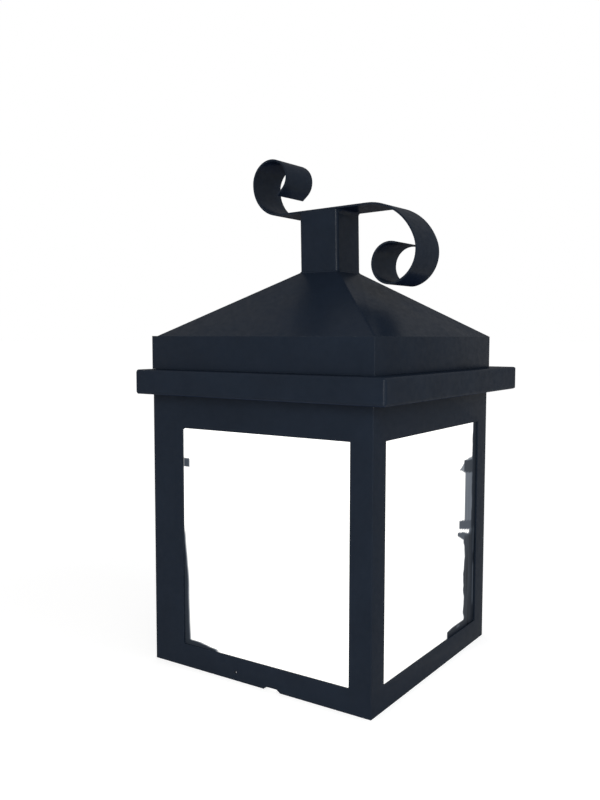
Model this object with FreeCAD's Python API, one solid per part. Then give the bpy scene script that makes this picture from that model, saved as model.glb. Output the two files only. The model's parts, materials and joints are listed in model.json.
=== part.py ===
import FreeCAD, Part
import math
import os

os.makedirs("parts", exist_ok=True)

# Wall lantern in millimetres: X to the right along its front, Y into the wall, Z up
# The wall face is Y = 0 and the frame's foot is at Z = 0 until the pieces are saved

# Body
body_width = 200.0
body_depth = 200.0
sheet = 1.5
angle_leg = 18.0
angle_wall = 2.0
toe_radius = 1.0
edge_radius = 0.6
mitre_reach = 30.0
rear_stile = 30.0
fold_radius = 2.0
window_top = 190.5
band_height = 61.5
fit_gap = 0.3
pick = 0.1

# Ledge of square tube round three sides
tube = 19.0
tube_wall = 1.5
tube_radius = 2.5
ledge_above_window = 26.5

# Cap
skirt_height = 26.0
skirt_sheet = 1.0
skirt_flange = 8.0
roof_sheet = 2.0
roof_rise = 51.5
roof_rear_inset = 5.0
neck_size = 36.0
neck_wall = 2.0
neck_radius = 3.0
neck_height = 48.3
neck_depth_in_roof = 4.0
crown_lean = 1.2

# Scroll strip
strip_width = 36.0
strip_thickness = 1.5
strip_turn = 2.0
wall_run = 37.4
wall_radii = (27.0, 17.9, 13.7)
wall_angles = (93.5, 125.5, 103.0)
wall_end_run = 6.0
front_run = 46.3
front_radii = (43.5, 25.2, 15.6)
front_angles = (69.5, 95.0, 214.0)

# Panes and what holds them
glass = 3.0
pane_lap = 10.0
pane_side_gap = 0.5
front_pane_back_space = 4.7
tongue = 1.0
tongue_reach = 50.0
tongue_tilt = 10.0
tongue_levels = (148.4, 97.9, 88.8)
tongue_heights = (9.3, 5.7, 6.0)
foot_tongue_width = 38.0
foot_tongue_rise = 21.0
foot_tongue_x = 43.0
rear_tongue_height = 5.5
rear_tongue_level = 164.4
rear_tongue_length = 35.5
bead = 2.0
front_bead_width = 37.5
front_bead_height = 152.0
rear_bead_width = 37.0
rear_bead_height = 112.0

# Left foot rail: a small hole and a shallow bite in its lower edge
rail_hole = 2.2
rail_hole_depth = 82.0
rail_hole_level = 6.2
bite_centre = 116.0
bite_length = 15.0
bite_rise = 3.0

# Wall fixing and cable entry in the back sheet
screw_spacing_x = 120.0
screw_spacing_z = 110.0
screw_hole = 6.5
screw_centre = 108.0
entry_above_window = 14.5
entry_hole = 16.0
grommet_flange = 20.0
grommet_lip = 2.0
cable_bore = 8.0

# Lamp
lamp_depth = 100.0
strap_width = 25.0
strap = 2.5
strap_drop = 15.0
strap_below_top = 1.0
nipple = 10.0
nipple_bore = 7.0
nipple_clear = 0.2
nipple_into_holder = 12.0
nipple_above_nut = 2.4
nut_flats = 14.0
nut_height = 4.0
washer = 18.0
washer_height = 1.2
holder_top = 30.0
holder = 39.0
holder_height = 48.0
holder_shoulder = 6.0
shell = 28.6
shell_wall = 0.8
shell_height = 25.0
shell_lip = 2.5
contact = 9.0
contact_height = 1.5
rivet = 3.6
lamp_cap = 26.2
lamp_cap_length = 23.0
lamp_tip = 9.0
lamp_tip_length = 2.5
lamp_throat = 23.0
lamp_collar = 10.0
lamp_body = 38.0
lamp_body_length = 39.0
lamp_chamfer = 6.0
earth_screw = 4.0
earth_head = 8.0
earth_head_height = 2.6
earth_length = 9.0
earth_nut_flats = 7.0
earth_nut_height = 3.2
earth_offset = 45.0

half = body_width / 2
band_top = window_top + band_height
ledge_bottom = window_top + ledge_above_window
entry_level = window_top + entry_above_window
ledge_top = ledge_bottom + tube
skirt_top = ledge_top + skirt_height
skirt_out = skirt_sheet + fit_gap
up = FreeCAD.Vector(0, 0, 1)
across = FreeCAD.Vector(1, 0, 0)


def box(x0, x1, y0, y1, z0, z1):
    return Part.makeBox(x1 - x0, y1 - y0, z1 - z0, FreeCAD.Vector(x0, y0, z0))


def rod(diameter, x, y, z0, z1):
    return Part.makeCylinder(diameter / 2, z1 - z0, FreeCAD.Vector(x, y, z0))


def rod_y(diameter, x, z, y0, y1):
    return Part.makeCylinder(diameter / 2, y1 - y0, FreeCAD.Vector(x, y0, z), FreeCAD.Vector(0, 1, 0))


def hexagon(flats, x, y, z0, z1):
    corner = flats / math.sqrt(3)
    turns = [k * math.pi / 3 for k in range(7)]
    ring = [FreeCAD.Vector(x + corner * math.cos(a), y + corner * math.sin(a), z0) for a in turns]
    return Part.Face(Part.makePolygon(ring)).extrude(up * (z1 - z0))


def prism(plan, z0, z1):
    ring = [FreeCAD.Vector(x, y, z0) for x, y in plan + plan[:1]]
    return Part.Face(Part.makePolygon(ring)).extrude(up * (z1 - z0))


def round_edges(shape, radius, chosen):
    edges = [e for e in shape.Edges if chosen(e)]
    return shape.makeFillet(radius, edges)


def upright(e):
    return abs(e.tangentAt(e.FirstParameter).z) > 0.99


def along_x(e):
    return abs(e.tangentAt(e.FirstParameter).x) > 0.99


def along_y(e):
    return abs(e.tangentAt(e.FirstParameter).y) > 0.99


def mid(e):
    return e.CenterOfMass


def save(name, shape):
    solid = shape.removeSplitter()
    if solid.ShapeType != "Solid" and len(solid.Solids) == 1:
        solid = solid.Solids[0]
    solid.translate(FreeCAD.Vector(0, 0, -screw_centre))
    solid.exportStep("parts/" + name + ".step")


def mirrored(shape):
    return shape.mirror(FreeCAD.Vector(0, 0, 0), across)


def zones(x, y_front, y_rear):
    # plan outlines that mitre the front, left and rear pieces of a rectangular ring at 45 degrees
    k = mitre_reach
    front = [(-x - k, y_front - k), (x + k, y_front - k), (x - k, y_front + k), (-x + k, y_front + k)]
    left = [(-x - k, y_front - k), (-x + k, y_front + k), (-x + k, y_rear - k), (-x - k, y_rear + k)]
    rear = [(-x - k, y_rear + k), (-x + k, y_rear - k), (x - k, y_rear - k), (x + k, y_rear + k)]
    return front, left, rear


def mitred(shape, plan):
    box_z = shape.BoundBox
    return shape.common(prism(plan, box_z.ZMin, box_z.ZMax))


frame_front, frame_left, frame_rear = zones(half, -body_depth, -sheet)

# Foot rails of steel angle, mitred at the corners
front_angle = box(-half, half, -body_depth, -body_depth + angle_wall, 0, angle_leg)
front_angle = front_angle.fuse(box(-half, half, -body_depth, -body_depth + angle_leg, 0, angle_wall))
front_angle = round_edges(front_angle.removeSplitter(), toe_radius, lambda e: along_x(e) and (
    (mid(e).z > angle_leg - pick and mid(e).y > -body_depth + angle_wall - pick)
    or (mid(e).y > -body_depth + angle_leg - pick and mid(e).z > angle_wall - pick)))
save("foot_rail_front", mitred(front_angle, frame_front))

rear_angle = front_angle.mirror(FreeCAD.Vector(0, -(body_depth + sheet) / 2, 0), FreeCAD.Vector(0, 1, 0))
save("foot_rail_rear", mitred(rear_angle, frame_rear))

side_angle = box(-half, -half + angle_wall, -body_depth, -sheet, 0, angle_leg)
side_angle = side_angle.fuse(box(-half, -half + angle_leg, -body_depth, -sheet, 0, angle_wall))
side_angle = round_edges(side_angle.removeSplitter(), toe_radius, lambda e: along_y(e) and (
    (mid(e).z > angle_leg - pick and mid(e).x > -half + angle_wall - pick)
    or (mid(e).x > -half + angle_leg - pick and mid(e).z > angle_wall - pick)))
side_angle = mitred(side_angle, frame_left)
save("foot_rail_right", mirrored(side_angle))

bite_radius = (bite_length ** 2 / 4 + bite_rise ** 2) / (2 * bite_rise)
bite = Part.makeCylinder(bite_radius, 3 * angle_wall,
                         FreeCAD.Vector(-half - angle_wall, -bite_centre, bite_rise - bite_radius), across)
hole = Part.makeCylinder(rail_hole / 2, 3 * angle_wall,
                         FreeCAD.Vector(-half - angle_wall, -rail_hole_depth, rail_hole_level), across)
save("foot_rail_left", side_angle.cut(bite).cut(hole))

# Front posts of the same angle, standing on the foot rails under the band
post = box(-half, -half + angle_wall, -body_depth, -body_depth + angle_leg, angle_leg, window_top)
post = post.fuse(box(-half, -half + angle_leg, -body_depth, -body_depth + angle_wall, angle_leg, window_top))
post = round_edges(post.removeSplitter(), toe_radius, lambda e: upright(e) and (
    (mid(e).y > -body_depth + angle_leg - pick and mid(e).x > -half + angle_wall - pick)
    or (mid(e).x > -half + angle_leg - pick and mid(e).y > -body_depth + angle_wall - pick)))
post = round_edges(post, edge_radius, lambda e: upright(e)
                   and mid(e).x < -half + pick and mid(e).y < -body_depth + pick)
save("post_front_left", post)
save("post_front_right", mirrored(post))

# Back plate drilled for the wall screws and the cable, with a flat bar at each side as the rear stile
back = box(-half, half, -sheet, 0, 0, ledge_top - fit_gap)
for sx in (-1, 1):
    for sz in (-1, 1):
        level = screw_centre + sz * screw_spacing_z / 2
        back = back.cut(rod_y(screw_hole, sx * screw_spacing_x / 2, level, -2 * sheet, sheet))
back = back.cut(rod_y(entry_hole, 0, entry_level, -2 * sheet, sheet))
save("back_plate", back)
stile = box(-half, -half + sheet, -rear_stile, -sheet, angle_leg, window_top)
save("rear_stile_left", stile)
save("rear_stile_right", mirrored(stile))

# Rubber grommet in the cable entry, with its bore left empty
grommet = rod_y(entry_hole, 0, entry_level, -sheet, 0)
grommet = grommet.fuse(rod_y(grommet_flange, 0, entry_level, -sheet - grommet_lip, -sheet))
grommet = grommet.cut(rod_y(cable_bore, 0, entry_level, -2 * sheet - grommet_lip, sheet))
save("cable_grommet", grommet)

# Band of flat bar round the top of the body, mitred and welded at its corners
band_front = box(-half, half, -body_depth, -body_depth + sheet, window_top, band_top)
band_left = box(-half, -half + sheet, -body_depth, -sheet, window_top, band_top)
band_rear = box(-half, half, -2 * sheet, -sheet, window_top, band_top)
band_rear = band_rear.cut(rod_y(grommet_flange + 2 * fit_gap, 0, entry_level, -3 * sheet, 0))
save("band_front", mitred(band_front, frame_front))
save("band_left", mitred(band_left, frame_left))
save("band_right", mirrored(mitred(band_left, frame_left)))
save("band_rear", mitred(band_rear, frame_rear))

# Ledge tubes, mitred at the front corners and open at the wall
front_tube = box(-half - tube, half + tube, -body_depth - tube, -body_depth, ledge_bottom, ledge_top)
front_tube = round_edges(front_tube, tube_radius, along_x)
front_tube = front_tube.cut(box(-half - tube, half + tube,
                                -body_depth - tube + tube_wall, -body_depth - tube_wall,
                                ledge_bottom + tube_wall, ledge_top - tube_wall))
side_tube = box(-half - tube, -half, -body_depth - tube, 0, ledge_bottom, ledge_top)
side_tube = round_edges(side_tube, tube_radius, along_y)
side_tube = side_tube.cut(box(-half - tube + tube_wall, -half - tube_wall, -body_depth - tube, 0,
                              ledge_bottom + tube_wall, ledge_top - tube_wall))
outline = box(-half - tube, half + tube, -body_depth - tube, tube, ledge_bottom, ledge_top)
outline = round_edges(outline, tube_radius, lambda e: upright(e) and mid(e).y < -body_depth)
ring_front, ring_left, ring_behind_wall = zones(half, -body_depth, mitre_reach)
ledge_left = mitred(side_tube, ring_left).common(outline)
save("ledge_front", mitred(front_tube, ring_front).common(outline))
save("ledge_left", ledge_left)
save("ledge_right", mirrored(ledge_left))

# Cap skirt: four strips that slip over the band and rest on the ledge, the rear one folded in at its top
skirt_half = half + skirt_out
skirt_front = -body_depth - skirt_out
cap_front, cap_left, cap_rear = zones(skirt_half, skirt_front, 0)
strip_front = box(-skirt_half, skirt_half, skirt_front, skirt_front + skirt_sheet, ledge_top, skirt_top)
strip_left = box(-skirt_half, -skirt_half + skirt_sheet, skirt_front, 0, ledge_top, skirt_top)
strip_rear = box(-skirt_half, skirt_half, -skirt_sheet, 0, ledge_top, skirt_top)
fold_half = skirt_half - skirt_sheet
fold = box(-fold_half, fold_half, -skirt_flange, 0, skirt_top - skirt_sheet, skirt_top)
save("skirt_front", mitred(strip_front, cap_front))
save("skirt_left", mitred(strip_left, cap_left))
save("skirt_right", mirrored(mitred(strip_left, cap_left)))
save("skirt_rear", mitred(strip_rear, cap_rear).fuse(fold))

# Hip roof of four sheets from the skirt up to the neck, set a little forward of the wall
neck_y = (skirt_front - roof_rear_inset) / 2
roof_top = skirt_top + roof_rise


def rectangle(x0, x1, y0, y1, z):
    return [FreeCAD.Vector(x, y, z) for x, y in ((x0, y0), (x1, y0), (x1, y1), (x0, y1))]


def frustum(low, high):
    sides = [[low[k - 1], low[k], high[k], high[k - 1]] for k in range(4)]
    faces = [Part.Face(Part.makePolygon(ring + ring[:1])) for ring in sides + [low, high]]
    return Part.makeSolid(Part.makeShell(faces))


neck_half = neck_size / 2
roof = frustum(rectangle(-skirt_half, skirt_half, skirt_front, -roof_rear_inset, skirt_top),
               rectangle(-neck_half, neck_half, neck_y - neck_half, neck_y + neck_half, roof_top))
under_roof = roof.copy()
under_roof.translate(FreeCAD.Vector(0, 0, -roof_sheet))
roof = roof.cut(under_roof)

# Neck tube let into the roof, and the scroll strip on its top, leaning together toward the wall
neck_foot = roof_top - neck_depth_in_roof
neck_top = roof_top + neck_height
neck_core = box(-neck_half, neck_half, neck_y - neck_half, neck_y + neck_half, neck_foot, neck_top)
neck_core = round_edges(neck_core, neck_radius, upright)
neck_inner = neck_half - neck_wall
neck_bore = box(-neck_inner, neck_inner, neck_y - neck_inner, neck_y + neck_inner, neck_foot, neck_top)
neck_bore = round_edges(neck_bore, neck_radius - neck_wall, upright)


def leaned(shape):
    turned = shape.copy()
    turned.rotate(FreeCAD.Vector(0, neck_y, roof_top), across, -crown_lean)
    return turned


save("neck_tube", leaned(neck_core.cut(neck_bore)))
roof_hole = box(-neck_half, neck_half, neck_y - neck_half, neck_y + neck_half,
                neck_foot - roof_sheet, neck_top)
roof = roof.cut(leaned(round_edges(roof_hole, neck_radius, upright)))
eaves = rectangle(-skirt_half, skirt_half, skirt_front, -roof_rear_inset, 0)
crown = rectangle(-neck_half, neck_half, neck_y - neck_half, neck_y + neck_half, 0)
for k, name in enumerate(("roof_left", "roof_front", "roof_right", "roof_rear")):
    plan = [(p.x, p.y) for p in (eaves[k - 1], eaves[k], crown[k], crown[k - 1])]
    save(name, mitred(roof, plan))


def strip_side(pieces, start, heading, offset):
    # edges of one face of the strip: straight runs and arcs that each start where the last one ended
    edges = []
    for radius, turn, run in pieces:
        normal = FreeCAD.Vector(0, -math.sin(heading), math.cos(heading))
        first = start + normal * offset
        if run:
            ahead = start + FreeCAD.Vector(0, math.cos(heading), math.sin(heading)) * run
            edges.append(Part.LineSegment(first, ahead + normal * offset).toShape())
            start = ahead
            continue
        side = 1 if turn > 0 else -1
        centre = start + normal * (radius * side)
        ends = []
        for part in (0.5, 1.0):
            angle = heading + math.radians(turn) * part
            out = FreeCAD.Vector(0, -math.sin(angle), math.cos(angle))
            ends.append(centre - out * (radius * side - offset))
        edges.append(Part.Arc(first, ends[0], ends[1]).toShape())
        heading = heading + math.radians(turn)
        start = centre - FreeCAD.Vector(0, -math.sin(heading), math.cos(heading)) * (radius * side)
    return edges


strip_start = FreeCAD.Vector(-strip_width / 2, neck_y, neck_top + strip_thickness / 2)
wall_pieces = [(0, 0, wall_run)] + [(r, a, 0) for r, a in zip(wall_radii, wall_angles)]
wall_pieces.append((0, 0, wall_end_run))
front_pieces = [(0, 0, front_run)] + [(r, a, 0) for r, a in zip(front_radii, front_angles)]
lower = strip_thickness / 2


def strip_face(pieces, heading):
    one = strip_side(pieces, strip_start, heading, lower)
    other = strip_side(pieces, strip_start, heading, -lower)
    caps = [Part.LineSegment(one[0].Vertexes[0].Point, other[0].Vertexes[0].Point).toShape(),
            Part.LineSegment(one[-1].Vertexes[-1].Point, other[-1].Vertexes[-1].Point).toShape()]
    ring = Part.Wire(Part.__sortEdges__(one + other + caps))
    return Part.Face(ring).extrude(across * strip_width)


scroll = strip_face(wall_pieces, 0.0).fuse(strip_face(front_pieces, math.pi)).removeSplitter()
scroll.rotate(FreeCAD.Vector(0, neck_y, 0), up, -strip_turn)
save("scroll_strip", leaned(scroll))

# Frosted panes standing on the foot rails behind the posts and the band
pane_top = window_top + pane_lap
pane_face = angle_wall + fit_gap
front_pane_half = half - angle_wall - pane_side_gap
front_inner = -body_depth + pane_face + glass
pane_front = box(-front_pane_half, front_pane_half, front_inner - glass, front_inner, angle_wall, pane_top)
save("pane_front", pane_front)
side_front = front_inner + front_pane_back_space
side_inner = -half + pane_face + glass
side_rear = -sheet - angle_wall - fit_gap
pane_left = box(side_inner - glass, side_inner, side_front, side_rear, angle_wall, pane_top)
save("pane_left", pane_left)
save("pane_right", mirrored(pane_left))

# Steel tongues that hold the panes from inside
leg_inside = half - angle_wall
tongues = []
for level, height in zip(tongue_levels, tongue_heights):
    strip = box(leg_inside - tongue_reach, leg_inside + height, front_inner, front_inner + tongue,
                level - height / 2, level + height / 2)
    strip.rotate(FreeCAD.Vector(leg_inside, front_inner, level), FreeCAD.Vector(0, 1, 0), tongue_tilt)
    tongues.append(strip.common(box(-half, leg_inside, front_inner, front_inner + tongue, 0, window_top)))
tongues.append(box(foot_tongue_x - foot_tongue_width / 2, foot_tongue_x + foot_tongue_width / 2, front_inner,
                   front_inner + tongue, angle_wall, foot_tongue_rise))
front_tongues = Part.makeCompound(tongues)
front_tongues.translate(FreeCAD.Vector(0, 0, -screw_centre))
front_tongues.exportStep("parts/front_pane_tongues.step")
rear_tongue = box(side_inner, side_inner + tongue, -sheet - rear_tongue_length, -sheet,
                  rear_tongue_level - rear_tongue_height / 2, rear_tongue_level + rear_tongue_height / 2)
save("left_pane_tongue", rear_tongue)
save("right_pane_tongue", mirrored(rear_tongue))

# Sealant run along the front pane's right edge and the left pane's rear edge
front_bead = box(front_pane_half - front_bead_width, front_pane_half, front_inner, front_inner + bead,
                 angle_wall, front_bead_height)
for solid in tongues:
    front_bead = front_bead.cut(solid)
front_bead.translate(FreeCAD.Vector(0, 0, -screw_centre))
front_bead.exportStep("parts/front_pane_sealant.step")
save("left_pane_sealant", box(side_inner, side_inner + bead, -sheet - rear_bead_width, side_rear,
                              angle_wall, rear_bead_height))

# Lamp strap across the band, welded by its turned-down ends
strap_top = band_top - strap_below_top
strap_under = strap_top - strap
strap_half = half - sheet
strap_front = -lamp_depth - strap_width / 2
strap_rear = -lamp_depth + strap_width / 2
lamp_strap = box(-strap_half, strap_half, strap_front, strap_rear, strap_under, strap_top)
for sx in (-1, 1):
    end = sorted((sx * strap_half, sx * (strap_half - strap)))
    turned_down = box(end[0], end[1], strap_front, strap_rear, strap_top - strap_drop, strap_top)
    lamp_strap = lamp_strap.fuse(turned_down)
lamp_strap = round_edges(lamp_strap.removeSplitter(), fold_radius,
                         lambda e: along_y(e) and mid(e).z > strap_top - pick)
lamp_strap = lamp_strap.cut(rod(nipple + nipple_clear, 0, -lamp_depth, strap_under, strap_top))
lamp_strap = lamp_strap.cut(rod(earth_screw, earth_offset, -lamp_depth, strap_under, strap_top))
save("lamp_strap", lamp_strap)

# Hollow nipple with its washer and nut, clamping the lampholder under the strap
nut_foot = strap_top + washer_height
nut_top = nut_foot + nut_height
nipple_foot = strap_under - nipple_into_holder
nipple_rod = rod(nipple, 0, -lamp_depth, nipple_foot, nut_top + nipple_above_nut)
save("nipple", nipple_rod.cut(rod(nipple_bore, 0, -lamp_depth, nipple_foot, nut_top + nipple_above_nut)))
washer_disc = rod(washer, 0, -lamp_depth, strap_top, nut_foot)
save("nipple_washer", washer_disc.cut(rod(nipple + nipple_clear, 0, -lamp_depth, strap_top, nut_foot)))
nut = hexagon(nut_flats, 0, -lamp_depth, nut_foot, nut_top)
save("nipple_nut", nut.cut(rod(nipple, 0, -lamp_depth, nut_foot, nut_top)))


# Porcelain lampholder with its screw shell and centre contact
holder_foot = strap_under - holder_height
shell_foot = holder_foot + shell_lip
shell_top = shell_foot + shell_height
porcelain = rod(holder, 0, -lamp_depth, holder_foot, strap_under - holder_shoulder)
porcelain = porcelain.fuse(rod(holder_top, 0, -lamp_depth, strap_under - holder_shoulder, strap_under))
porcelain = porcelain.cut(rod(shell, 0, -lamp_depth, holder_foot, shell_top))
porcelain = porcelain.cut(rod(nipple, 0, -lamp_depth, nipple_foot, strap_under))
porcelain = porcelain.cut(rod(rivet, 0, -lamp_depth, shell_top, nipple_foot))
save("lampholder", porcelain)
shell_tube = rod(shell, 0, -lamp_depth, shell_foot, shell_top)
save("screw_shell", shell_tube.cut(rod(shell - 2 * shell_wall, 0, -lamp_depth, shell_foot, shell_top)))
button = rod(contact, 0, -lamp_depth, shell_top - contact_height, shell_top)
save("centre_contact", button.fuse(rod(rivet, 0, -lamp_depth, shell_top, nipple_foot)))

# Lamp: one sealed tubular bulb screwed up to the centre contact
tip_top = shell_top - contact_height
cap_top = tip_top - lamp_tip_length
cap_foot = cap_top - lamp_cap_length
collar_foot = cap_foot - lamp_collar
lamp_foot = collar_foot - lamp_body_length
profile = [(0, tip_top), (lamp_tip / 2, tip_top), (lamp_tip / 2, cap_top), (lamp_cap / 2, cap_top),
           (lamp_cap / 2, cap_foot), (lamp_throat / 2, cap_foot), (lamp_body / 2, collar_foot),
           (lamp_body / 2, lamp_foot + lamp_chamfer), (lamp_body / 2 - lamp_chamfer, lamp_foot),
           (0, lamp_foot)]
ring = [FreeCAD.Vector(r, -lamp_depth, z) for r, z in profile + profile[:1]]
save("bulb", Part.Face(Part.makePolygon(ring)).revolve(FreeCAD.Vector(0, -lamp_depth, 0), up, 360))

# Earth screw through the strap with its nut
earth = rod(earth_head, earth_offset, -lamp_depth, strap_top, strap_top + earth_head_height)
earth = earth.fuse(rod(earth_screw, earth_offset, -lamp_depth, strap_top - earth_length, strap_top))
save("earth_screw", earth)
earth_nut = hexagon(earth_nut_flats, earth_offset, -lamp_depth, strap_under - earth_nut_height, strap_under)
earth_hole = rod(earth_screw, earth_offset, -lamp_depth, strap_under - earth_nut_height, strap_under)
save("earth_nut", earth_nut.cut(earth_hole))
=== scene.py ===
import json
import math

import bmesh
import bpy
from mathutils import Matrix, Vector, noise


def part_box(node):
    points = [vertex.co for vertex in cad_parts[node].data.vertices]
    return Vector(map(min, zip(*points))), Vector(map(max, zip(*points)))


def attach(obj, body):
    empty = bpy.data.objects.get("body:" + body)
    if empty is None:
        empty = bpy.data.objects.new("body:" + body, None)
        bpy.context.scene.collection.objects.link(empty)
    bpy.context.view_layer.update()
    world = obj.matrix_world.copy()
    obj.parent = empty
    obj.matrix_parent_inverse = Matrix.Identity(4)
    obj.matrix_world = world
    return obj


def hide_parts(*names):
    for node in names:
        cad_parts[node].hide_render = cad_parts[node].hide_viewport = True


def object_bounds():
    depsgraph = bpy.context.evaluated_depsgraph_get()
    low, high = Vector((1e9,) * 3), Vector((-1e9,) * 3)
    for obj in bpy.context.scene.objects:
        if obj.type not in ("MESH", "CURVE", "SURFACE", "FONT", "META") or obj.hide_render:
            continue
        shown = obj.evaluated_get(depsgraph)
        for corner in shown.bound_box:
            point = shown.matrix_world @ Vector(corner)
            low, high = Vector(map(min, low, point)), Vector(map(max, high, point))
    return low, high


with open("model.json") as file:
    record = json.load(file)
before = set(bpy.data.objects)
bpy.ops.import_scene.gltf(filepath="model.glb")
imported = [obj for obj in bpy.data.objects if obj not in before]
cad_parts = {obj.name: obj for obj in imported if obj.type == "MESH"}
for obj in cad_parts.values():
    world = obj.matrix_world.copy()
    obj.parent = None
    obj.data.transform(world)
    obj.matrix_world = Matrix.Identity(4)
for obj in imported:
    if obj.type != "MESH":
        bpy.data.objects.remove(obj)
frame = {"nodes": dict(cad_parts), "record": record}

# Wall lantern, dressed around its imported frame. Lengths are in metres; mm turns millimetres into metres
mm = 0.001
root = "root"
nodes = frame["nodes"]
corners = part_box
cad_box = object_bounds()

# Camera, as recovered from the photograph's edges
camera_place = Vector((-584.66, -468.72, 154.32)) * mm
camera_yaw = math.radians(55.926)
camera_pitch = math.radians(4.399)
camera_roll = -0.0019
camera_clip = 0.01
image_height = 800
focal_pixels = 834.05
sensor = 36.0

# Light: what the world gives, the floor's grey, and the floor's glow, near and far, which only the eye sees
white = (1, 1, 1, 1)
ambient = 0.5
floor_grey = 0.5
floor_cloud = 0.01
floor_glow_near = 0.7
floor_glow_far = 0.77
floor_near = 0.25
floor_far = 1.1
floor_reach = 30.0

# Studio lamps: name, place, size, watts and colour
studio_lamps = (
    ("key", (-1.6, -0.95, 0.4), (0.35, 1.0), 24, (1.0, 0.99, 0.97)),
    ("front_fill", (0.3, -1.8, 0.7), (0.8, 0.8), 4.6, (0.76, 0.89, 1.0)),
)

# Paint on the steel: its two shades, the layers over them, how far from an edge it is worn thin and given a
# painted rim highlight, and between which z of the normal a surface comes to face up or down
paint_dark = (0.0079, 0.0122, 0.0205)
paint_light = (0.0106, 0.0161, 0.0267)
# Painted shade: a bluer colour for what faces down
painted_underside_shade = (0.0125, 0.021, 0.045)
# Dust, which also lightens the tops as a painted sheen
paint_dust_and_sheen = (0.0118, 0.0174, 0.03)
# Thin paint at edges, which also lightens them as a painted rim highlight
paint_worn_and_highlit = (0.021, 0.027, 0.036)
edge_mask_reach = 1.2 * mm
faces_up = (0.25, 0.95)
faces_down = (-0.6, -0.95)

# Frosted glass: colours of its painted glow and of its surface, from painted shade to fully lit
painted_glow_colours = [(0.0, (0.6, 0.74, 0.95)), (0.5, (1.0, 0.985, 0.97)), (1.0, (1.0, 0.99, 0.965))]
painted_glass_shades = [
    (0.0, (0.004, 0.006, 0.01)),
    (0.35, (0.01, 0.013, 0.018)),
    (0.8, (0.3, 0.31, 0.31)),
    (1.0, (0.34, 0.34, 0.33)),
]

# Most of a noise's values lie between these two
grain_low = 0.3
grain_high = 0.7

# Meshes: what counts as nothing, as one place, as on a face, as a seam, as flat, sharp or smooth, how far a
# mitre's normal leans along x and y at least, and how much of an upright edge is vertical
sliver = 0.001 * mm
merge_reach = 0.02 * mm
on_face = 0.1 * mm
seam_length = 3 * mm
flat_angle = math.radians(0.4)
sharp_angle = math.radians(20)
smooth_angle = math.radians(38)
mitre_lean = 0.3
upright_share = 0.9

# Softened edges
body_corner = 0.6 * mm
skirt_corner = 0.4 * mm
ridge_edge = 1.2 * mm
edge_segments = 3

# Weld beads: ripples and unevenness are shares of the radius
bead_sides = 10
bead_pitch = 2.2 * mm
bead_step = 0.35
bead_grain = 260
bead_waver = 0.22
bead_swell = 0.18
bead_ripple = 0.1
bead_least = 0.9
bead_end = 0.35
bead_taper = 1.5

# Hollow welds under the strip
strip_corners = (Vector((0, -120.13, 254.17)) * mm, Vector((0, -84.15, 253.41)) * mm)
strip_weld = 4.2 * mm
strip_weld_half = 16 * mm
fillet_steps = 40
fillet_bows = 6
fillet_ends = 5
fillet_grain = 240
fillet_waver = 0.12
fillet_sunk = 0.3 * mm

# Neck and its weld
neck_half = 18.0 * mm
neck_round = 3 * mm
neck_weld = 1.0 * mm
neck_weld_sunk = 0.3 * mm
roof_rear_inset = 5 * mm

# Welds in the windows' corners, from just under the face inward, and stitches under the ledge
corner_weld = 1.1 * mm
corner_depths = (0.4 * mm, 2.4 * mm)
stitch_weld = 1.3 * mm
stitch_half = 8 * mm
stitch_step = 50 * mm
stitch_count = 4
front_stitch = -75 * mm
side_stitch = 25 * mm

# Panes: the grid of their painted glow, the painted glow of clean glass, and the painted brightening where
# the lamp is nearest
pane_step = 1.0 * mm
painted_pane_glow = 0.92
painted_lamp_gain = 0.3
lamp_level = 25 * mm


# Node helpers for the materials


def new_material(name):
    made = bpy.data.materials.new(name)
    made.use_nodes = True
    tree = made.node_tree
    return made, tree, tree.nodes["Principled BSDF"]


def add_node(tree, kind, **settings):
    made = tree.nodes.new(kind)
    for key, value in settings.items():
        setattr(made, key, value)
    return made


def object_place(tree, stretch=(1, 1, 1)):
    """Object coordinates, in metres, stretched along the axes"""
    place = add_node(tree, "ShaderNodeTexCoord")
    turn = add_node(tree, "ShaderNodeMapping")
    turn.inputs["Scale"].default_value = stretch
    tree.links.new(place.outputs["Object"], turn.inputs["Vector"])
    return turn.outputs["Vector"]


def grain(tree, place, scale, detail=3.0, roughness=0.55):
    """Noise at a scale, as a value from 0 to 1"""
    made = add_node(tree, "ShaderNodeTexNoise")
    made.inputs["Scale"].default_value = scale
    made.inputs["Detail"].default_value = detail
    made.inputs["Roughness"].default_value = roughness
    tree.links.new(place, made.inputs["Vector"])
    return made.outputs["Fac"]


def ramp(tree, value, stops):
    """A colour ramp from (position, colour) stops"""
    made = add_node(tree, "ShaderNodeValToRGB")
    elements = made.color_ramp.elements
    while len(elements) < len(stops):
        elements.new(0.5)
    for element, (position, colour) in zip(elements, stops):
        element.position = position
        element.color = (*colour, 1)
    tree.links.new(value, made.inputs["Fac"])
    return made.outputs["Color"]


def span(tree, value, low, high, out_low, out_high):
    """Turns the range from low to high into the range from out_low to out_high"""
    made = add_node(tree, "ShaderNodeMapRange")
    ends = {"From Min": low, "From Max": high, "To Min": out_low, "To Max": out_high}
    for key, number in ends.items():
        made.inputs[key].default_value = number
    tree.links.new(value, made.inputs["Value"])
    return made.outputs["Result"]


def shades(tree, noise_value, dark, light):
    """Colours from dark to light over a noise"""
    return ramp(tree, noise_value, [(grain_low, dark), (grain_high, light)])


def vary(tree, noise_value, low, high):
    """Numbers from low to high over a noise"""
    return span(tree, noise_value, grain_low, grain_high, low, high)


def combine(tree, operation, a, b):
    made = add_node(tree, "ShaderNodeMath", operation=operation)
    tree.links.new(a, made.inputs[0])
    tree.links.new(b, made.inputs[1])
    return made.outputs["Value"]


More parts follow.
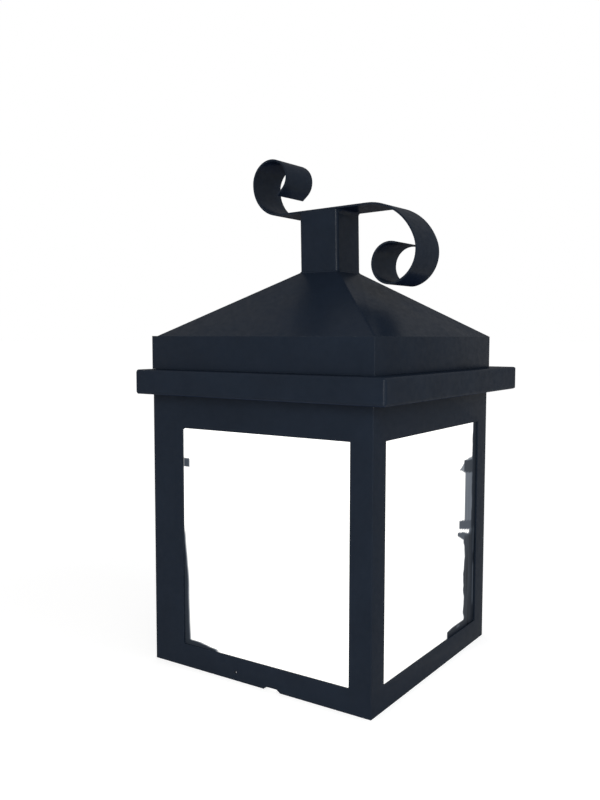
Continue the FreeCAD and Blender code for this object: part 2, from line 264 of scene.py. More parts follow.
def cover(tree, amount, colour, layer):
    """Lays one plain colour over another by an amount"""
    made = add_node(tree, "ShaderNodeMix", data_type="RGBA")
    below, above = [s for s in made.inputs if s.name in "AB" and s.type == "RGBA"]
    tree.links.new(amount, made.inputs["Factor"])
    tree.links.new(colour, below)
    above.default_value = (*layer, 1)
    return [s for s in made.outputs if s.type == "RGBA"][0]


def bumps(tree, shader, layers):
    """Chains (height, strength, distance) layers into the shader's normal"""
    normal = None
    for height, strength, distance in layers:
        made = add_node(tree, "ShaderNodeBump")
        made.inputs["Strength"].default_value = strength
        made.inputs["Distance"].default_value = distance
        tree.links.new(height, made.inputs["Height"])
        if normal:
            tree.links.new(normal, made.inputs["Normal"])
        normal = made.outputs["Normal"]
    tree.links.new(normal, shader.inputs["Normal"])


def drive(tree, shader, key, value):
    """Links a value to one of the shader's inputs"""
    tree.links.new(value, shader.inputs[key])


def set_shader(shader, **values):
    for key, value in values.items():
        shader.inputs[key.replace("_", " ")].default_value = value


# Materials


def edge_nearness(tree, facing):
    """How near an edge is: the rounded normal turns away from the true one there"""
    rounded = add_node(tree, "ShaderNodeBevel", samples=4)
    rounded.inputs["Radius"].default_value = edge_mask_reach
    turned = add_node(tree, "ShaderNodeVectorMath", operation="DOT_PRODUCT")
    tree.links.new(rounded.outputs["Normal"], turned.inputs[0])
    tree.links.new(facing, turned.inputs[1])
    return span(tree, turned.outputs["Value"], 0.995, 0.86, 0.0, 1.0)


def black_paint():
    """Satin bluish-black paint brushed on steel: soft mottling, dust on what faces up with a painted sheen
    that lightens the tops, thin paint on edges with a painted rim highlight, and a painted bluer shade on
    what faces down, whose coat is also duller"""
    made, tree, shader = new_material("black_paint")
    place = object_place(tree)
    strokes = grain(tree, object_place(tree, (420, 420, 30)), scale=1.0, detail=4.0)
    mottle = grain(tree, place, scale=26, detail=5.0, roughness=0.6)
    peel = grain(tree, place, scale=900, detail=2.0)
    patch = grain(tree, place, scale=240, detail=3.0, roughness=0.6)

    facing = add_node(tree, "ShaderNodeNewGeometry").outputs["Normal"]
    split = add_node(tree, "ShaderNodeSeparateXYZ")
    tree.links.new(facing, split.inputs["Vector"])
    upward = span(tree, split.outputs["Z"], *faces_up, 0.0, 1.0)
    # Painted shade: what faces down gets a bluer colour, and its coat is dulled
    under = span(tree, split.outputs["Z"], *faces_down, 0.0, 1.0)
    # Dust on what faces up, which also lightens the tops as a painted sheen
    dust_and_sheen = combine(tree, "MULTIPLY", upward, span(tree, mottle, 0.35, 0.75, 0.2, 0.4))
    # Thin paint near edges, which also lightens them as a painted rim highlight
    worn_and_highlit = combine(tree, "MULTIPLY", edge_nearness(tree, facing), span(tree, patch, 0.45, 0.65, 0.0, 0.8))

    colour = shades(tree, mottle, paint_dark, paint_light)
    for amount, layer in ((under, painted_underside_shade), (dust_and_sheen, paint_dust_and_sheen), (worn_and_highlit, paint_worn_and_highlit)):
        colour = cover(tree, amount, colour, layer)
    drive(tree, shader, "Base Color", colour)

    gloss = combine(tree, "ADD", vary(tree, mottle, 0.13, 0.11), vary(tree, patch, 0.03, -0.03))
    for dulled in (span(tree, dust_and_sheen, 0.0, 0.5, 1.0, 0.6), span(tree, under, 0.0, 1.0, 1.0, 0.45)):
        gloss = combine(tree, "MULTIPLY", gloss, dulled)
    drive(tree, shader, "Coat Weight", gloss)
    set_shader(shader, Specular_IOR_Level=0.0, Roughness=0.6, Coat_IOR=1.5, Coat_Roughness=0.26)
    bumps(tree, shader, [(strokes, 0.05, 0.2 * mm), (peel, 0.12, 0.12 * mm), (mottle, 0.08, 0.4 * mm)])
    return made


def frosted_glass():
    """Sandblasted glass, lit from behind by a painted glow: it emits as much light as the glow attribute says
    at each point, and its surface colour darkens with it as painted shade
    """
    made, tree, shader = new_material("frosted_glass")
    place = object_place(tree)
    blast = grain(tree, place, scale=3200, detail=2.0)
    cloud = grain(tree, place, scale=20)
    glow = add_node(tree, "ShaderNodeAttribute", attribute_name="glow").outputs["Fac"]
    level = combine(tree, "MULTIPLY", glow, vary(tree, cloud, 0.97, 1.03))
    level = combine(tree, "MULTIPLY", level, span(tree, blast, 0.2, 0.8, 0.985, 1.015))
    drive(tree, shader, "Emission Strength", level)
    drive(tree, shader, "Emission Color", ramp(tree, glow, painted_glow_colours))
    drive(tree, shader, "Base Color", ramp(tree, glow, painted_glass_shades))
    drive(tree, shader, "Roughness", span(tree, blast, 0.2, 0.8, 0.45, 0.62))
    set_shader(shader, Specular_IOR_Level=0.08)
    bumps(tree, shader, [(blast, 0.25, 0.05 * mm)])
    return made


def zinc_steel():
    """Zinc plate with a faint spangle and drawn lines"""
    made, tree, shader = new_material("zinc_steel")
    spangle = add_node(tree, "ShaderNodeTexVoronoi")
    spangle.inputs["Scale"].default_value = 260
    tree.links.new(object_place(tree), spangle.inputs["Vector"])
    lines = grain(tree, object_place(tree, (60, 2400, 2400)), scale=1.0)
    colour = ramp(tree, spangle.outputs["Color"], [(0.0, (0.42, 0.43, 0.44)), (1.0, (0.62, 0.63, 0.64))])
    drive(tree, shader, "Base Color", colour)
    drive(tree, shader, "Roughness", vary(tree, lines, 0.28, 0.46))
    set_shader(shader, Metallic=1.0)
    bumps(tree, shader, [(lines, 0.08, 0.05 * mm)])
    return made


def brass():
    """Drawn brass, darkening in patches"""
    made, tree, shader = new_material("brass")
    patch = grain(tree, object_place(tree), scale=180, detail=4.0)
    drive(tree, shader, "Base Color", shades(tree, patch, (0.36, 0.23, 0.08), (0.72, 0.53, 0.22)))
    drive(tree, shader, "Roughness", vary(tree, patch, 0.42, 0.24))
    set_shader(shader, Metallic=1.0)
    bumps(tree, shader, [(patch, 0.05, 0.05 * mm)])
    return made


def porcelain():
    """Glazed porcelain with a wavy glaze and fine dark specks"""
    made, tree, shader = new_material("porcelain")
    place = object_place(tree)
    wave = grain(tree, place, scale=90, detail=2.0)
    speck = grain(tree, place, scale=1400, detail=1.0)
    stops = [(0.24, (0.35, 0.32, 0.27)), (0.3, (0.8, 0.78, 0.73)), (1.0, (0.85, 0.83, 0.79))]
    drive(tree, shader, "Base Color", ramp(tree, speck, stops))
    drive(tree, shader, "Roughness", vary(tree, wave, 0.1, 0.2))
    set_shader(shader, Coat_Weight=0.5, Coat_Roughness=0.06)
    bumps(tree, shader, [(wave, 0.1, 0.3 * mm)])
    return made


def lamp_glass():
    """Opal lamp glass, lit, a little uneven in its milk"""
    made, tree, shader = new_material("lamp_glass")
    milk = grain(tree, object_place(tree), scale=70, detail=2.0)
    drive(tree, shader, "Base Color", shades(tree, milk, (0.86, 0.85, 0.82), (0.92, 0.91, 0.88)))
    drive(tree, shader, "Emission Strength", vary(tree, milk, 3.4, 4.0))
    drive(tree, shader, "Emission Color", shades(tree, milk, (1.0, 0.93, 0.82), (1.0, 0.95, 0.86)))
    drive(tree, shader, "Roughness", vary(tree, milk, 0.16, 0.24))
    bumps(tree, shader, [(milk, 0.04, 0.2 * mm)])
    return made


def dark_rubber(name, dark, light, rough_low, rough_high):
    """Black rubber or hardened sealant: matt skin with pores"""
    made, tree, shader = new_material(name)
    place = object_place(tree)
    skin = grain(tree, place, scale=320, detail=4.0)
    pores = grain(tree, place, scale=2200, detail=2.0)
    drive(tree, shader, "Base Color", shades(tree, skin, dark, light))
    drive(tree, shader, "Roughness", vary(tree, pores, rough_low, rough_high))
    bumps(tree, shader, [(skin, 0.2, 0.3 * mm), (pores, 0.15, 0.08 * mm)])
    return made


finish = {
    "black_paint": black_paint(),
    "frosted_glass": frosted_glass(),
    "zinc_steel": zinc_steel(),
    "brass": brass(),
    "porcelain": porcelain(),
    "lamp_glass": lamp_glass(),
    "rubber": dark_rubber("rubber", (0.012, 0.012, 0.012), (0.03, 0.03, 0.03), 0.6, 0.8),
    "sealant": dark_rubber("sealant", (0.014, 0.017, 0.019), (0.04, 0.044, 0.046), 0.3, 0.5),
}

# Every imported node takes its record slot's finish
for part in frame["record"]["subparts"]:
    nodes[part["node"]].data.materials.clear()
    nodes[part["node"]].data.materials.append(finish[part["material_slot"]])


# Mesh helpers


def add_object(name, data):
    made = bpy.data.objects.new(name, data)
    bpy.context.scene.collection.objects.link(made)
    return made


def mesh_object(name, bm):
    """Turns a bmesh into an object and frees it"""
    mesh = bpy.data.meshes.new(name)
    bm.to_mesh(mesh)
    bm.free()
    return add_object(name, mesh)


def keep_piece(name, bm, slot, replaced=()):
    """Makes one visible piece of a bmesh, riding the body and taking a record slot"""
    bmesh.ops.dissolve_degenerate(bm, edges=bm.edges, dist=sliver)
    bmesh.ops.recalc_face_normals(bm, faces=bm.faces)
    for face in bm.faces:
        face.smooth = True
    for edge in bm.edges:
        if len(edge.link_faces) == 2:
            edge.smooth = edge.calc_face_angle(0.0) < smooth_angle
    made = mesh_object(name, bm)
    made.data.materials.append(finish[slot])
    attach(made, root)
    if replaced:
        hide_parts(*replaced)
    return made


def is_mitre(normal):
    return min(abs(normal.x), abs(normal.y)) > mitre_lean > abs(normal.z)


def welded_plates(names):
    """One shell from plates mitred at 45 degrees: the mitre faces go and the edges are merged"""
    bm = bmesh.new()
    for name in names:
        bm.from_mesh(nodes[name].data)
    bm.normal_update()
    mitres = [face for face in bm.faces if is_mitre(face.normal)]
    bmesh.ops.delete(bm, geom=mitres, context="FACES_ONLY")
    bmesh.ops.remove_doubles(bm, verts=bm.verts, dist=merge_reach)
    bmesh.ops.dissolve_limit(bm, angle_limit=flat_angle, verts=bm.verts, edges=bm.edges)
    return bm


def united_solids(names):
    """One shell from solids that touch: what they share goes and their flush faces become one"""
    solids = []
    for name in names:
        bm = bmesh.new()
        bm.from_mesh(nodes[name].data)
        bmesh.ops.remove_doubles(bm, verts=bm.verts, dist=sliver)
        solids.append(mesh_object("joined_solid", bm))
    for other in solids[1:]:
        join = solids[0].modifiers.new("join", "BOOLEAN")
        join.operation = "UNION"
        join.solver = "MANIFOLD"
        join.object = other
    bpy.context.view_layer.update()
    whole = solids[0].evaluated_get(bpy.context.evaluated_depsgraph_get())
    bm = bmesh.new()
    bm.from_mesh(whole.data)
    for solid in solids:
        bpy.data.meshes.remove(solid.data)
    seams = [edge for edge in bm.edges if edge.calc_length() > seam_length]
    bmesh.ops.dissolve_limit(bm, angle_limit=flat_angle, verts=[], edges=seams)
    for face in bm.faces:
        face.material_index = 0
    return bm


def soften(bm, offset, chosen):
    """Rounds the sharp edges that are chosen by their middle and direction"""
    edges = []
    for edge in bm.edges:
        if len(edge.link_faces) != 2 or edge.calc_face_angle(0.0) < sharp_angle:
            continue
        middle = (edge.verts[0].co + edge.verts[1].co) / 2
        along = (edge.verts[1].co - edge.verts[0].co).normalized()
        if chosen(middle, along):
            edges.append(edge)
    bmesh.ops.bevel(bm, geom=edges, offset=offset, segments=edge_segments, profile=0.5, affect="EDGES",
                    clamp_overlap=True)


def upright(along):
    return abs(along.z) > upright_share


def join_loops(bm, one, other):
    """A band of faces between two closed lines of vertices"""
    for k in range(len(one)):
        bm.faces.new((one[k - 1], one[k], other[k], other[k - 1]))


def close_rings(bm, rings):
    """A closed skin over rings of vertices"""
    for one, other in zip(rings, rings[1:]):
        join_loops(bm, other, one)
    bm.faces.new(rings[0])
    bm.faces.new(rings[-1])


def fill_grid(bm, grid):
    """Faces between the vertices of a grid of columns"""
    for one, other in zip(grid, grid[1:]):
        for j in range(len(one) - 1):
            bm.faces.new((one[j], other[j], other[j + 1], one[j + 1]))


def grid_rim(columns, rows):
    """Places round the edge of a grid, in order"""
    rim = [(i, 0) for i in range(columns)] + [(columns, j) for j in range(rows)]
    return rim + [(i, rows) for i in range(columns, 0, -1)] + [(0, j) for j in range(rows, 0, -1)]


def add_tube(bm, points, radii):
    """A closed tube of rings along a line of points, one radius at each"""
    rings = []
    for k, point in enumerate(points):
        ahead = (points[min(k + 1, len(points) - 1)] - points[max(k - 1, 0)]).normalized()
        side = ahead.cross(Vector((0, 0, 1)))
        if side.length < 0.2:
            side = ahead.cross(Vector((0, 1, 0)))
        side.normalize()
        top = side.cross(ahead)
        ring = []
        for j in range(bead_sides):
            angle = 2 * math.pi * j / bead_sides
            out = side * math.cos(angle) + top * math.sin(angle)
            ring.append(bm.verts.new(point + out * radii[k]))
        rings.append(ring)
    close_rings(bm, rings)


def add_weld(bm, path, radius, seed):
    """A weld bead along a path: overlapping ripples of uneven size, tapering at both ends"""
    lengths = [(b - a).length for a, b in zip(path, path[1:])]
    total = sum(lengths)
    steps = max(8, int(total / (bead_step * radius)))
    points, radii = [], []
    for k in range(steps + 1):
        reach = total * k / steps
        run = reach
        leg = 0
        while leg < len(lengths) - 1 and run > lengths[leg]:
            run -= lengths[leg]
            leg += 1
        point = path[leg].lerp(path[leg + 1], min(1.0, run / lengths[leg]))
        uneven = noise.noise_vector(point * bead_grain + Vector((seed, 0, 0)))
        ripple = bead_ripple * abs(math.sin(math.pi * reach / bead_pitch))
        taper = min(1.0, bead_end + min(reach, total - reach) / (bead_taper * radius))
        points.append(point + uneven * bead_waver * radius)
        radii.append(radius * taper * (bead_least + ripple + bead_swell * uneven.x))
    add_tube(bm, points, radii)


def add_fillet(bm, start, end, out, down, leg, seed):
    """A hollow weld in the corner between two faces that lie along out and down, uneven along its length"""
    rings = []
    for k in range(fillet_steps + 1):
        corner = start.lerp(end, k / fillet_steps)
        uneven = 1 + fillet_waver * noise.noise(corner * fillet_grain + Vector((seed, 0, 0)))
        taper = min(1.0, 0.5 + min(k, fillet_steps - k) / fillet_ends)
        size = leg * uneven * taper
        ring = [corner - (out + down) * fillet_sunk]
        for j in range(fillet_bows + 1):
            angle = math.pi / 2 * j / fillet_bows
            ring.append(corner + (out * (1 - math.sin(angle)) + down * (1 - math.cos(angle))) * size)
        rings.append([bm.verts.new(place) for place in ring])
    close_rings(bm, rings)


def add_lathe(bm, profile, axis, sides=64, thread=None):
    """A turned form about an upright axis, from (radius, level) points in order. thread is (start, end,
    pitch, depth) and cuts a helical thread between two levels"""
    rings = []
    for radius, level in reversed(profile):
        ring = []
        for j in range(sides):
            angle = 2 * math.pi * j / sides
            reach = radius
            if thread and thread[0] <= level <= thread[1]:
                turn = level / thread[2] - j / sides
                reach += thread[3] * (math.cos(2 * math.pi * turn) - 1) / 2
            out = Vector((reach * math.cos(angle), reach * math.sin(angle), level))
            ring.append(bm.verts.new(axis + out))
        rings.append(ring)
    close_rings(bm, rings)


def arc(centre, radius, start, end, count):
    """(radius, level) points of an arc in a turned form's profile, angles in degrees"""
    made = []
    for k in range(count + 1):
        angle = math.radians(start + (end - start) * k / count)
        made.append((centre[0] + radius * math.cos(angle), centre[1] + radius * math.sin(angle)))
    return made


def upright_axis(low, high):
    """The middle of a box, at level 0"""
    return Vector(((low.x + high.x) / 2, (low.y + high.y) / 2, 0))


# Welded shells of the body and the cap


def four_sides(kind):
    return [f"{kind}_{side}" for side in ("front", "left", "right", "rear")]


def make_body():
    """Rails, posts, stiles and bands, whose joints are ground flush and painted over"""
    uprights = ["post_front_left", "post_front_right", "rear_stile_left", "rear_stile_right"]
    names = four_sides("foot_rail") + uprights + four_sides("band")
    front = corners("band_front")[0].y
    half_width = corners("band_front")[1].x
    body = united_solids(names)
    soften(body, body_corner, lambda middle, along: upright(along) and middle.y < front + on_face
           and abs(middle.x) > half_width - on_face)
    keep_piece("body_frame", body, "black_paint", names)


def make_skirt():
    names = four_sides("skirt")
    skirt = welded_plates(names)
    soften(skirt, skirt_corner, lambda middle, along: upright(along))
    keep_piece("cap_skirt", skirt, "black_paint", names)


def make_roof():
    """Four sheets with softened ridges between the eave and the neck"""
    names = four_sides("roof")
    ridge_foot = corners("skirt_front")[1].z + mm
    ridge_top = corners("neck_tube")[0].z - 2 * mm
    roof = welded_plates(names)
    soften(roof, ridge_edge, lambda middle, along: ridge_foot < middle.z < ridge_top)
    keep_piece("cap_roof", roof, "black_paint", names)


# Welds


def rounded_square(centre, half, radius, level, count=5):
    """Points of a closed square path with rounded corners"""
    path = []
    for k in range(4):
        turn = math.pi / 2 * k
        middle = Matrix.Rotation(turn, 3, "Z") @ Vector((half - radius, half - radius, 0))
        for j in range(count + 1):
            angle = turn + math.pi / 2 * j / count
            out = Vector((math.cos(angle), math.sin(angle), 0)) * radius
            path.append(Vector((centre.x, centre.y, level)) + middle + out)
    return path + path[:1]


def make_cap_welds():
    """A bead round the neck's foot, and hollow welds under the strip before and behind the neck"""
    roof_top = corners("roof_left")[1].z
    neck_middle = Vector((0, (corners("skirt_front")[0].y - roof_rear_inset) / 2, 0))
    along = Vector((strip_weld_half, 0, 0))
    down = Vector((0, 0, -1))
    neck_foot = rounded_square(neck_middle, neck_half, neck_round, roof_top - neck_weld_sunk)
    bm = bmesh.new()
    add_weld(bm, neck_foot, neck_weld, seed=3)
    for place, side in zip(strip_corners, (-1, 1)):
        out = Vector((0, side, 0))
        add_fillet(bm, place - along, place + along, out, down, strip_weld, seed=11 + side)
    keep_piece("cap_welds", bm, "black_paint")


def make_body_welds():
    """Short beads in the windows' corners, and stitches under the ledge. Seeds keep them unlike each other"""
    foot_top = corners("foot_rail_front")[1].z
    window_top = corners("band_front")[0].z
    left, front, _ = corners("post_front_left")[0]
    half_width = abs(left)
    post_leg = corners("post_front_left")[1].x - left
    stile_front = corners("rear_stile_left")[0].y
    ledge_foot = corners("ledge_front")[0].z
    bm = bmesh.new()
    seed = 20
    for level in (foot_top, window_top):
        for side in (-1, 1):
            x = side * (half_width - post_leg)
            add_weld(bm, [Vector((x, front + depth, level)) for depth in corner_depths], corner_weld, seed)
            for y in (front + post_leg, stile_front):
                bead = [Vector((side * (half_width - depth), y, level)) for depth in corner_depths]
                add_weld(bm, bead, corner_weld, seed + y)
            seed += 1
    for k in range(stitch_count):
        x = front_stitch + stitch_step * k
        stitch = [Vector((x + end * stitch_half, front, ledge_foot)) for end in (-1, 1)]
        add_weld(bm, stitch, stitch_weld, seed=40 + k)
        y = front + side_stitch + stitch_step * k
        for side in (-1, 1):
            stitch = [Vector((side * half_width, y + end * stitch_half, ledge_foot)) for end in (-1, 1)]
            add_weld(bm, stitch, stitch_weld, seed=60 + 3 * k + side)
    keep_piece("body_welds", bm, "black_paint")


# Frosted panes, which glow with painted light. Their painted shadows are in millimetres: x or y across, z up.
# A pair of numbers says where a soft edge begins and ends, and a value ending in _dark says how much painted
# light is held back

# Front pane's tongues, as painted shadows: each tip, its level there, slope, height, narrowing toward the
# tip, and darkness
tongue_marks = (
    (59, 46.9, 0.12, 11.6, 0.1, 0.965),
    (50.6, 44.7, -0.12, 11.5, 0.85, 0.78),
    (50.8, -1.0, 0.172, 8.0, 0.1, 0.92),
    (47.8, -8.4, 0.3, 7.0, 0.5, 0.92),
)
tongue_narrows = 14
tongue_tip = 0.7
tongue_edge = 0.4

# Front pane's sealant, as painted shadows: a run along the post, a smear beside it that thickens downward,
# and a heap at the foot
run_edge = (75.2, 76.8)
run_waver = 0.8
run_dark = 0.98
smear_edge = (60.2, 63.0)
smear_top = (47, 43)
smear_thickens = (-6, -15)
smear_waver = 2.4
smear_dark = 0.85
smear_thick_dark = 0.132
smear_streak_dark = 0.03
heap_edge = (28, 31)
heap_level = -84.5
heap_waver = 0.5
heap_bend = 42
heap_slope = 0.09
heap_soft = 0.6
heap_dark = 0.985

# Painted light that comes through that sealant: a gap between two tongues, with (level, slope) of its foot
# and top, two slits as (foot, top, softness, light), and a pale spot in the heap
gap_from = 50
gap_foot = (-8.3, -0.16)
gap_top = (-4.5, -0.17)
gap_soft = 0.4
gap_end = (70, 73)
gap_light = 0.9
slit_across = (79.8, 82.4)
slit_soft = 0.7
slits = ((-30, -8, 3, 0.03), (-75, -40, 4, 0.06))
spot_across = (49, 55)
spot_up = (-87.6, -86)
spot_light = 0.08

# Left and right panes' painted shadows, with y from the rear stile's edge: one tongue each, and the left
# one's sealant, whose run widens by so much between two levels
stile_edge = -30
left_tongue = (-5.1, 0.6), (51.8, 58.7)
left_tongue_dark = 0.93
left_run_top = (8, -4)
left_run_widens = ((3.9, 10, -46), (1.4, -58, -90))
left_run_soft = 1.5
left_run_dark = 0.97
left_heap_edge = (-36, -30)
left_heap_level = -86.4
left_heap_slopes = (-8, -34)
left_heap_fall = 2.6
left_heap_dark = 0.975
left_waver = 0.4
right_tongue = (-7, 1), (53.6, 59.1)
right_tongue_edge = 0.5
right_tongue_dark = 0.95

bulb_low, bulb_high = corners("bulb")
lamp_middle = upright_axis(bulb_low, bulb_high) + Vector((0, 0, bulb_low.z + lamp_level))


def smooth_step(low, high, value):
    """0 at low, 1 at high and smooth between; low may be the greater"""
    part = min(1.0, max(0.0, (value - low) / (high - low)))
    return part * part * (3 - 2 * part)


def inside(value, low, high, soft):
    """1 between low and high, fading to 0 across each end"""
    return smooth_step(low - soft, low + soft, value) * (1 - smooth_step(high - soft, high + soft, value))


def painted_glass_light(point):
    """Painted glow of clean glass, with a painted brightening where the lamp is nearest"""
    away = point - lamp_middle
    across = max(abs(away.x), abs(away.y))
    return painted_pane_glow + painted_lamp_gain * (across ** 2 / away.length_squared)


def tongue_shadow(x, z):
    """The darkest painted tongue shadow over a point of the front pane"""
    dark = 0.0
    for tip, level, slope, height, narrow, tongue_dark in tongue_marks:
        middle = level - (x - tip) * slope
        half_height = height / 2 * (1 - narrow * smooth_step(tip + tongue_narrows, tip, x))
        mark = smooth_step(tip - tongue_tip, tip + tongue_tip, x)
        mark *= inside(z, middle - half_height, middle + half_height, tongue_edge)
        dark = max(dark, tongue_dark * mark)
    return dark


def smear_shadow(x, z, wave):
    """Painted shadow of the sealant at the front pane's right edge, with a clear gap between two tongues and
    two paler slits
    """
    streak = noise.noise(Vector((x * 0.45, 0, z * 0.03)))
    low = smooth_step(*smear_thickens, z)
    run = run_dark * smooth_step(*run_edge, x + run_waver * wave)
    smear = smooth_step(*smear_edge, x - smear_waver * wave * low) * smooth_step(*smear_top, z)
    smear *= smear_dark + smear_thick_dark * low + smear_streak_dark * streak
    foot, top = [level + slope * (x - gap_from) for level, slope in (gap_foot, gap_top)]
    gap = inside(z, foot, top, gap_soft) * (1 - smooth_step(*gap_end, x))
    slit = sum(light * inside(z, slit_foot, slit_top, soft) for slit_foot, slit_top, soft, light in slits)
    return max(run, smear * (1 - gap_light * gap)) - slit * inside(x, *slit_across, slit_soft)


def heap_shadow(x, z, wave):
    """Painted shadow of the heap of sealant at the front pane's foot, with one painted pale spot"""
    top = heap_level + heap_waver * wave - heap_slope * max(0, heap_bend - x)
    heap = smooth_step(*heap_edge, x) * (1 - smooth_step(top - heap_soft, top + heap_soft, z))
    pale_spot = spot_light * inside(x, *spot_across, 1.0) * inside(z, *spot_up, heap_soft)
    return heap_dark * heap - pale_spot


def front_painted_glow(point):
    """Painted light on the front pane: painted shadows of the tongues and of the sealant behind its right
    edge hold it back
    """
    x, z = point.x / mm, point.z / mm
    wave = noise.noise(Vector((0, 1.5, z * 0.09))) + 0.5 * noise.noise(Vector((0, 4.5, z * 0.23)))
    dark = max(smear_shadow(x, z, wave), tongue_shadow(x, z), heap_shadow(x, z, wave))
    return painted_glass_light(point) * (1 - dark)


def left_painted_glow(point):
    """Painted light on the left pane, with painted shadows of one tongue and of a soft run of sealant low at
    its rear edge
    """
    y, z = point.y / mm - stile_edge, point.z / mm
    wave = noise.noise(point * 70 + Vector((5, 0, 0)))
    across, up = left_tongue
    tongue = inside(y, *across, tongue_edge) * inside(z, *up, tongue_edge)
    edge = -sum(wider * smooth_step(start, end, z) for wider, start, end in left_run_widens)
    run = smooth_step(edge - left_run_soft, edge + left_run_soft, y + left_waver * wave)
    run *= smooth_step(*left_run_top, z)
    top = left_heap_level - left_heap_fall * smooth_step(*left_heap_slopes, y) + left_waver * wave
    heap = smooth_step(*left_heap_edge, y) * (1 - smooth_step(top - 0.4, top + 1.0, z))
    dark = max(left_tongue_dark * tongue, left_run_dark * run, left_heap_dark * heap)
    return painted_glass_light(point) * (1 - dark)


def right_painted_glow(point):
    """Painted light on the right pane, with the painted shadow of its one tongue at the rear edge"""
    across, up = right_tongue
    y, z = point.y / mm - stile_edge, point.z / mm
    tongue = inside(y, *across, right_tongue_edge) * inside(z, *up, right_tongue_edge)
    return painted_glass_light(point) * (1 - right_tongue_dark * tongue)


def make_pane(name, node, glow_at):
    """A pane whose outer face is a fine grid, so that its painted glow and painted shadows can vary from
    point to point
    """
    low, high = corners(node)
    wide = 0 if high.x - low.x > high.y - low.y else 1
    deep = 1 - wide
    outer, inner = low[deep], high[deep]
    if deep == 0 and low.x > 0:
        outer, inner = inner, outer
    columns = round((high[wide] - low[wide]) / pane_step)
    rows = round((high.z - low.z) / pane_step)
    bm = bmesh.new()

    def vertex(i, j, depth):
        place = Vector((0, 0, low.z + (high.z - low.z) * j / rows))
        place[wide] = low[wide] + (high[wide] - low[wide]) * i / columns
        place[deep] = depth
        return bm.verts.new(place)

    grid = [[vertex(i, j, outer) for j in range(rows + 1)] for i in range(columns + 1)]
    fill_grid(bm, grid)
    rim = grid_rim(columns, rows)
    back = [vertex(i, j, inner) for i, j in rim]
    join_loops(bm, [grid[i][j] for i, j in rim], back)
    bm.faces.new(back)
    made = keep_piece(name, bm, "frosted_glass", [node])
    # The pane is no lamp: its glow is painted light, with painted shadows on the outer face and an even
    # painted glow on the inner face
    glow = made.data.attributes.new("glow", "FLOAT", "POINT")
    for point in made.data.vertices:
        on_outer = abs(point.co[deep] - outer) < on_face
        glow.data[point.index].value = glow_at(point.co) if on_outer else painted_pane_glow


# Lamp and its holder


def make_lamp():
    """An opal globe and a threaded brass cap, which are one closed solid in the frame"""
    low, high = corners("bulb")
    axis = upright_axis(low, high)
    body = (high.x - low.x) / 2
    tip = 0.3 * mm
    end_round = 9 * mm
    shoulder_round = 8 * mm
    shoulder_drop = 9 * mm
    throat = 11.5 * mm
    cap_foot = high.z - 25.5 * mm
    globe = [(tip, low.z)]
    globe += arc((body - end_round, low.z + end_round), end_round, -90, 0, 10)
    globe += arc((body - shoulder_round, cap_foot - shoulder_drop), shoulder_round, 0, 55, 6)
    globe += [(throat + 1.2 * mm, cap_foot - 1.4 * mm), (throat + 0.6 * mm, cap_foot)]
    bm = bmesh.new()
    add_lathe(bm, globe, axis)
    keep_piece("lamp_globe", bm, "lamp_glass", ["bulb"])

    steps = 60
    cap_length = 23 * mm
    cap_radius = 13.1 * mm
    thread_pitch = 3.6 * mm
    thread_depth = 1.2 * mm
    thread = (cap_foot + 3 * mm, cap_foot + 21 * mm, thread_pitch, thread_depth)
    cap = [(cap_radius - 0.6 * mm, cap_foot - 0.5 * mm)]
    cap += [(cap_radius, cap_foot + cap_length * k / steps) for k in range(steps + 1)]
    cap += [(5.5 * mm, high.z - 1.6 * mm), (4.5 * mm, high.z - 0.8 * mm), (3.0 * mm, high.z)]
    bm = bmesh.new()
    add_lathe(bm, cap, axis, thread=thread)
    keep_piece("lamp_cap", bm, "brass")


def make_lampholder():
    """A turned porcelain holder: round mouth, two grooves, shoulder and boss"""
    low, high = corners("lampholder")
    outer = (high.x - low.x) / 2
    boss = 15 * mm
    boss_edge = 0.8 * mm
    bore = 5.05 * mm
    mouth = 14.3 * mm
    mouth_depth = 27.5 * mm
    mouth_round = 1.2 * mm
    foot_round = 1.6 * mm
    groove_depth = 0.8 * mm
    groove_step = 0.5 * mm
    shoulder = high.z - 6 * mm
    shoulder_round = 2.5 * mm
    profile = [(mouth - 0.05 * mm, low.z + mouth_depth), (mouth, low.z + mouth_round)]
    profile += arc((mouth + mouth_round, low.z + mouth_round), mouth_round, 180, 270, 4)
    profile += arc((outer - foot_round, low.z + foot_round), foot_round, -90, 0, 5)
    for groove in (9 * mm, 12 * mm):
        for k, depth in enumerate((0, groove_depth, groove_depth, 0)):
            profile.append((outer - depth, low.z + groove + groove_step * k))
    profile += arc((outer - shoulder_round, shoulder - shoulder_round), shoulder_round, 0, 90, 6)
    profile += [(boss + 1 * mm, shoulder), (boss, shoulder + 1 * mm), (boss, high.z - boss_edge),
                (boss - boss_edge, high.z), (bore, high.z)]
    bm = bmesh.new()
    add_lathe(bm, profile, upright_axis(low, high))
    keep_piece("porcelain_holder", bm, "porcelain", ["lampholder"])


# Sealant behind the panes' edges


